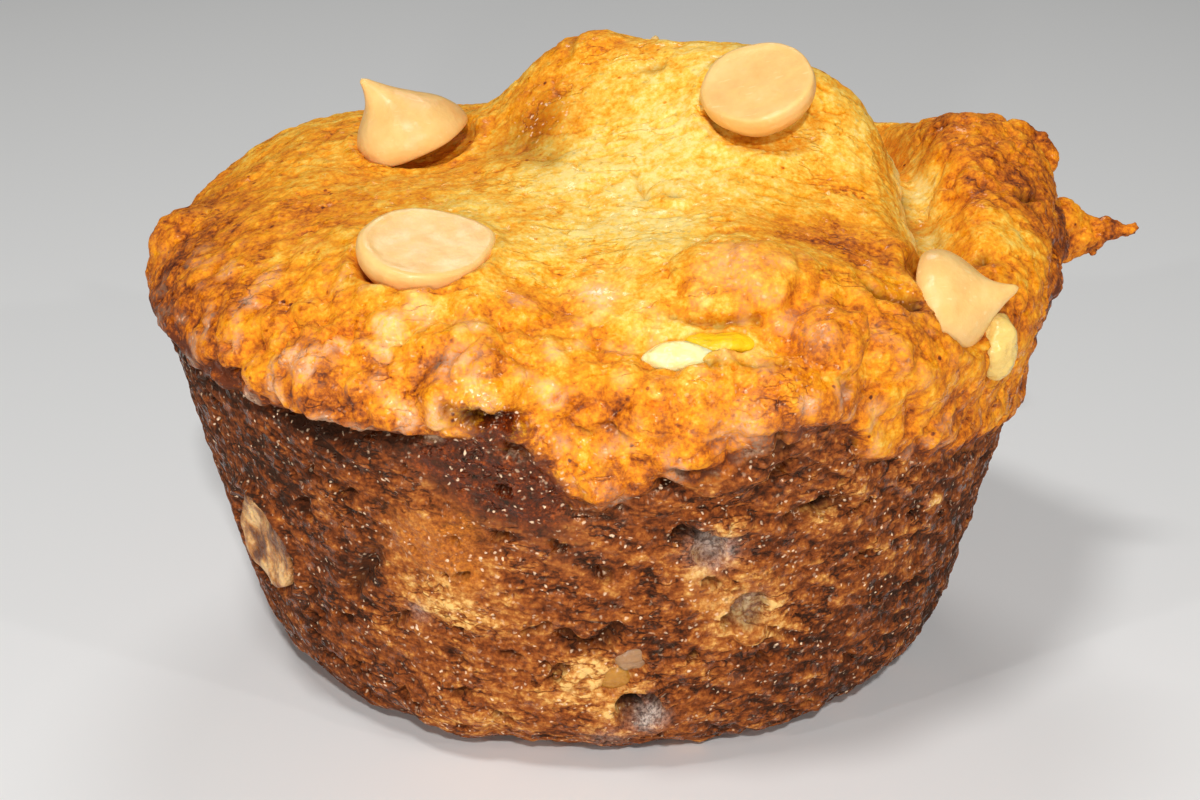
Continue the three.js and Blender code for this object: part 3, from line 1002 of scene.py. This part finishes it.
CROWN_COLOURS = [
    (0.00, (0.93, 0.69, 0.22)),
    (0.22, (0.92, 0.54, 0.070)),
    (0.45, (0.87, 0.33, 0.008)),
    (0.64, (0.70, 0.20, 0.005)),
    (0.82, (0.40, 0.085, 0.004)),
    (1.00, (0.11, 0.018, 0.004)),
]
WALL_COLOURS = [
    (0.00, (0.025, 0.004, 0.001)),
    (0.22, (0.10, 0.018, 0.003)),
    (0.42, (0.24, 0.052, 0.008)),
    (0.60, (0.39, 0.110, 0.018)),
    (0.80, (0.62, 0.26, 0.055)),
    (1.00, (0.88, 0.53, 0.17)),
]
CARAMEL_COLOURS = [
    (0.38, (0.012, 0.002, 0.001)),
    (0.52, (0.10, 0.012, 0.002)),
    (0.66, (0.40, 0.075, 0.008)),
]


# painted shade for the holes and for the grooves, pits and slits, and the colour of the dark specks
HOLE_SHADE_COLOUR, PAINTED_SHADE_COLOUR, SPECK_COLOUR = (0.008, 0.004, 0.003), (0.035, 0.007, 0.002), (0.05, 0.009, 0.002)
# the colours of the painted highlights and of the painted glints
PAINTED_HIGHLIGHT_COLOUR, PAINTED_GLINT_COLOUR = (0.98, 0.66, 0.41), (1.0, 0.71, 0.46)
JELLY_COLOURS = (0.26, 0.050, 0.004), (0.66, 0.20, 0.015)
WEB_COLOURS = (0.20, 0.16, 0.14), (0.80, 0.67, 0.57)


class Crust(Nodes):
    """The node tree of the baked surface, with the masks and noises that its colours share."""

    def __init__(self, name):
        super().__init__(name)
        self.crown, self.wet, self.caramel = self.mask("crown"), self.mask("wet"), self.mask("caramel")
        self.painted_highlight = self.mask("painted_highlight")
        self.mottle = self.noise(1.1, 4, 0.6)
        self.fine = self.noise(0.34, 5, 0.72)
        self.grain, self.grain_pick = self.crumbs(0.42)
        self.wrinkle = self.lines(2.4, 0.026, (0.40, 0.9, 1.1), 0.30)
        self.crack = self.lines(1.7, 0.040, (0.6, 0.6, 1.2), 0.55)


def crown_colour(m):
    # dark dots of painted shade, as in tiny pores
    pore_shade = m.times(m.steps(m.cells(1.25), 0.16, 0.08), m.steps(m.noise(4.0, 2), 0.5, 0.62))
    toast_and_shade = m.total(
        m.mask("toast_and_shade"),
        m.steps(m.mottle, 0.3, 0.7, -0.13, 0.13),
        m.steps(m.fine, 0.3, 0.7, -0.19, 0.19),
        # darker at the grains' edges and in the wrinkles, where the bump dips: painted shade
        m.steps(m.grain, 0.15, 0.75, -0.05, 0.07),
        m.times(pore_shade, 0.4),
        m.times(m.wrinkle, 0.17),
    )
    return m.ramp(toast_and_shade, CROWN_COLOURS)


def wall_colour(m):
    flake = m.noise(0.9, 3, 0.6, stretch=(0.5, 0.7, 1.6))
    tone = m.total(
        m.mask("wall_tone_and_shade"),
        m.steps(m.fine, 0.3, 0.7, -0.17, 0.17),
        m.steps(flake, 0.3, 0.7, -0.18, 0.18),
        m.steps(m.grain_pick, 0.0, 1.0, -0.08, 0.08),
        # paler in the grains' middles and darker at their edges and in the cracks, where the bump dips:
        # painted shade
        m.steps(m.grain, 0.1, 0.75, 0.08, -0.12),
        m.times(m.crack, -0.30),
    )
    return m.ramp(tone, WALL_COLOURS)


def sweetened(m, colour):
    """Adds the dark boiled sugar and the clear orange jelly."""
    sugar = m.ramp(m.total(m.times(m.fine, 0.6), m.times(m.mottle, 0.4)), CARAMEL_COLOURS)
    ragged = m.total(m.caramel, m.steps(m.fine, 0.3, 0.7, -0.25, 0.25))
    colour = m.mix(m.steps(ragged, 0.25, 0.75), colour, sugar)
    jelly = m.mix(m.steps(m.fine, 0.35, 0.65), *JELLY_COLOURS)
    return m.mix(m.times(m.mask("amber"), m.steps(m.fine, 0.3, 0.7, 0.65, 1.0)), colour, jelly)


def sprinkled(m, colour):
    """Adds the painted highlights on the lumps, the painted glints and the dark specks."""
    # painted highlights on the lumps, broken up by fine noise
    pale = m.times(m.painted_highlight, m.steps(m.fine, 0.38, 0.54, 0.0, 0.80))
    colour = m.mix(pale, colour, PAINTED_HIGHLIGHT_COLOUR)
    patches = m.steps(m.noise(3.0, 3, 0.6), 0.42, 0.56, 0.3, 1.0)
    bare_wall = m.times(m.steps(m.crown, 0.6, 0.3, 0.0, 0.9), patches)
    on_highlights = m.math("MULTIPLY", m.painted_highlight, 1.6, clamp=True)
    # painted glints: small bright grains that stand in for highlights, on bare patches of the wall, on the
    # painted highlights, on the wet places and on the boiled sugar
    spark, spark_pick = m.crumbs(0.36)
    glint = m.times(m.steps(spark_pick, 0.76, 0.95), m.steps(spark, 0.42, 0.22))
    glint = m.times(glint, m.most(bare_wall, on_highlights, m.wet, m.caramel))
    colour = m.mix(glint, colour, PAINTED_GLINT_COLOUR)
    speck = m.times(m.steps(m.grain_pick, 0.13, 0.07), m.steps(m.grain, 0.5, 0.3))
    return m.mix(m.times(speck, m.steps(m.crown, 0.0, 1.0, 0.5, 0.25)), colour, SPECK_COLOUR)


def hollowed(m, colour):
    """Paints shade into the holes and adds the grey web in them."""
    web = m.mix(m.steps(m.fine, 0.42, 0.56), *WEB_COLOURS)
    colour = m.mix(m.mask("hollow"), colour, HOLE_SHADE_COLOUR)
    return m.mix(m.times(m.mask("ash"), 0.85), colour, web)


def crust_roughness(m):
    shiny = m.steps(m.noise(0.9, 1.0), 0.56, 0.64)
    dry = m.blend(m.crown, m.blend(shiny, 0.98, 0.26), m.blend(shiny, 0.80, 0.27))
    return m.blend(m.most(m.wet, m.caramel, m.painted_highlight), dry, 0.17)


def crust_relief(m):
    hills = m.total(m.times(m.noise(0.55, 1.0), 0.8), m.times(m.noise(0.28, 0.0), 0.26))
    wall = m.total(m.times(hills, 0.8), m.times(m.grain, -0.24), m.times(m.crack, -0.45))
    crown = m.total(m.times(hills, 0.42), m.times(m.grain, -0.08), m.times(m.wrinkle, -0.30))
    return m.bump(m.blend(m.crown, wall, crown), 0.20)


def crust_material():
    m = Crust("baked_crust")
    colour = sweetened(m, m.mix(m.crown, wall_colour(m), crown_colour(m)))
    # painted shade in the grooves, pits and slits and round the chips and the fruit
    colour = m.mix(m.times(m.mask("dark"), 0.85), colour, PAINTED_SHADE_COLOUR)
    colour = hollowed(m, sprinkled(m, colour))
    return m.surface(
        Base_Color=colour, Roughness=crust_roughness(m), Normal=crust_relief(m), Subsurface_Weight=0.06,
        Subsurface_Radius=(0.002, 0.0009, 0.0004), Subsurface_Scale=0.5, IOR=1.5,
        Specular_IOR_Level=0.48, Specular_Tint=(1.0, 0.78, 0.52, 1),
    )


CHIP_COLOURS = [(0.83, 0.45, 0.14), (0.87, 0.53, 0.18), (0.92, 0.61, 0.24)]
MELTED_COLOURS = [(0.16, 0.045, 0.008), (0.48, 0.20, 0.055), (0.84, 0.50, 0.20)]


def chip_material(name, colours, spread, bumps):
    m = Nodes(name)
    tone = m.noise(2.4, 4, 0.55)
    colour = m.ramp(tone, [(0.5 - spread, colours[0]), (0.50, colours[1]), (0.5 + spread, colours[2])])
    scratch = m.steps(m.noise(0.5, 2, 0.5, stretch=(0.25, 1.6, 1.0)), 0.66, 0.72)
    colour = m.mix(m.times(scratch, 0.25), colour, (0.97, 0.80, 0.45))
    rough = m.steps(m.noise(1.6, 3), 0.35, 0.65, 0.28, 0.46)
    normal = m.bump(m.noise(0.7, 3, 0.5), bumps)
    return m.surface(
        Base_Color=colour, Roughness=rough, Normal=normal, Subsurface_Weight=0.25,
        Subsurface_Radius=(0.003, 0.0015, 0.0008), Subsurface_Scale=0.5, IOR=1.42,
    )


def fruit_material(name, young, ripe):
    m = Nodes(name)
    tone = m.noise(1.6, 4, 0.6, stretch=(0.5, 1.0, 1.0))
    colour = m.mix(m.mask("ripe"), young, ripe)
    colour = m.mix(m.steps(tone, 0.45, 0.75, 0.0, 0.45), colour, ripe)
    normal = m.bump(m.noise(0.4, 3, 0.6, stretch=(0.4, 1.0, 1.0)), 0.10)
    rough = m.steps(tone, 0.3, 0.7, 0.34, 0.18)
    return m.surface(
        Base_Color=colour, Roughness=rough, Normal=normal, Subsurface_Weight=0.4,
        Subsurface_Radius=(0.004, 0.003, 0.0015), Subsurface_Scale=0.5, IOR=1.40,
    )


# ---- the body's texture map

MAP_SIDE = 152.0  # millimetres across the whole map
MAP_CENTRE_HEIGHT = 25.0
CROWN_FROM, BASE_FROM = 0.19, -0.74  # slopes, in radians, seen from the map's centre
STRIP_WIDE, STRIP_TALL = 33.6, 32.0  # millimetres to a radian
STRIP_LEFT, FRONT_LOW, BACK_LOW = 4.0, 2.0, 36.0
CROWN_ISLAND = (46.0, 110.0, 30.0)  # centre, and millimetres to a radian
BASE_ISLAND = (122.0, 122.0, 31.0)


def write_map(mesh):
    """One round island for the crown, one for the base and two strips for the wall."""
    p = read_points(mesh) / MM
    count = len(mesh.polygons)
    totals = np.empty(count, np.int32)
    mesh.polygons.foreach_get("loop_total", totals)
    corners = np.empty(len(mesh.loops), np.int32)
    mesh.loops.foreach_get("vertex_index", corners)
    centres = np.empty(count * 3, np.float32)
    mesh.polygons.foreach_get("center", centres)
    centres = centres.reshape(-1, 3) / MM
    face = np.repeat(np.arange(count), totals)
    c_angle = np.arctan2(centres[:, 1], centres[:, 0])
    c_out = np.hypot(centres[:, 0], centres[:, 1])
    steep = np.arctan2(centres[:, 2] - MAP_CENTRE_HEIGHT, c_out)
    top = (steep > CROWN_FROM)[face]
    bottom = (steep < BASE_FROM)[face]
    front = (c_angle < 0)[face]

    q = p[corners]
    angle, out = np.arctan2(q[:, 1], q[:, 0]), np.hypot(q[:, 0], q[:, 1])
    lift = np.arctan2(q[:, 2] - MAP_CENTRE_HEIGHT, out)
    turn = angle - c_angle[face]
    angle = c_angle[face] + np.arctan2(np.sin(turn), np.cos(turn))
    u = np.where(front, angle + math.pi, angle) * STRIP_WIDE + STRIP_LEFT
    v = (lift + 0.78) * STRIP_TALL + np.where(front, FRONT_LOW, BACK_LOW)
    for where, island, fall in ((top, CROWN_ISLAND, -lift), (bottom, BASE_ISLAND, lift)):
        reach = (math.pi / 2 + fall) * island[2]
        u = np.where(where, island[0] + reach * np.cos(angle), u)
        v = np.where(where, island[1] + reach * np.sin(angle), v)
    layer = mesh.uv_layers.new(name="OFBake")
    layer.data.foreach_set("uv", (np.stack([u, v], 1) / MAP_SIDE).astype(np.float32).ravel())


# ---- building the part

def keep(piece, node, material):
    piece.data.materials.clear()
    piece.data.materials.append(material)
    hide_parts(node)
    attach(piece, "root")


def build():
    body = remeshed_body()
    shape_body(body)
    write_map(body.data)
    keep(body, "muffin_body", crust_material())
    candy = chip_material("baking_chip", CHIP_COLOURS, 0.25, 0.06)
    melted = chip_material("melted_chip", MELTED_COLOURS, 0.10, 0.55)
    for seed, chip in enumerate(CHIPS):
        coat = melted if chip["name"] == "chip_in_wall" else candy
        keep(chip_object(chip, seed), chip["name"], coat)
    cream = fruit_material("cream_fruit", (0.95, 0.86, 0.40), (0.95, 0.56, 0.012))
    pale = fruit_material("pale_fruit", (0.80, 0.54, 0.16), (0.80, 0.54, 0.16))
    grey = fruit_material("cooked_fruit", (0.40, 0.22, 0.11), (0.48, 0.21, 0.03))
    fleshes = {"fruit_crease_front": cream, "fruit_split_right": pale, "fruit_wall_low": grey}
    for seed, fruit in enumerate(FRUITS):
        keep(fruit_object(fruit, seed), fruit["name"], fleshes[fruit["name"]])


# ---- camera, floor and lights

CAMERA_DISTANCE = 170.0
CAMERA_ELEVATION = 20.0
AIM = (-0.2, 0.0, 19.5)


def camera():
    data = bpy.data.cameras.new("camera")
    data.lens = 60.3
    data.sensor_width = 36.0
    data.clip_start = 0.01
    data.clip_end = 20.0
    ob = new_object("camera", data)
    slope = math.radians(CAMERA_ELEVATION)
    ob.location = Vector(AIM) * MM + Vector((0, -math.cos(slope), math.sin(slope))) * CAMERA_DISTANCE * MM
    ob.rotation_euler = (math.pi / 2 - slope, 0, 0)
    bpy.context.scene.camera = ob


def lamp(name, place, target, size, power):
    data = bpy.data.lights.new(name, "AREA")
    data.shape = "DISK"
    data.size = size
    data.energy = power
    ob = new_object(name, data)
    ob.location = place
    ob.rotation_euler = (Vector(target) - Vector(place)).to_track_quat("-Z", "Y").to_euler()


def stage():
    mesh = bpy.data.meshes.new("floor")
    mesh.from_pydata([(-3, -3, 0), (3, -3, 0), (3, 3, 0), (-3, 3, 0)], [], [(0, 1, 2, 3)])
    floor = new_object("floor", mesh)
    m = Nodes("pale_floor")
    m.surface(Base_Color=(0.86, 0.86, 0.85, 1), Roughness=0.7)
    mesh.materials.append(m.material)
    world = bpy.data.worlds.new("studio")
    world.use_nodes = True
    world.node_tree.nodes["Background"].inputs["Color"].default_value = (1, 0.99, 0.97, 1)
    world.node_tree.nodes["Background"].inputs["Strength"].default_value = 0.06
    bpy.context.scene.world = world
    centre = (0, 0, 0.03)
    lamp("key", (-0.14, -0.26, 0.68), centre, 0.13, 1.6)
    lamp("flash", (0.02, -0.40, 0.30), centre, 0.024, 1.15)
    lamp("low_front", (-0.04, -0.50, 0.09), centre, 0.022, 0.75)
    lamp("spark_left", (-0.34, -0.34, 0.24), centre, 0.016, 0.26)
    lamp("spark_right", (0.36, -0.32, 0.26), centre, 0.016, 0.22)
    lamp("back", (0.0, 0.44, 0.60), (0, 0.30, 0), 0.25, 1.0)
    scene = bpy.context.scene
    scene.view_settings.view_transform = "Standard"
    scene.view_settings.look = "None"


camera()
build()
stage()
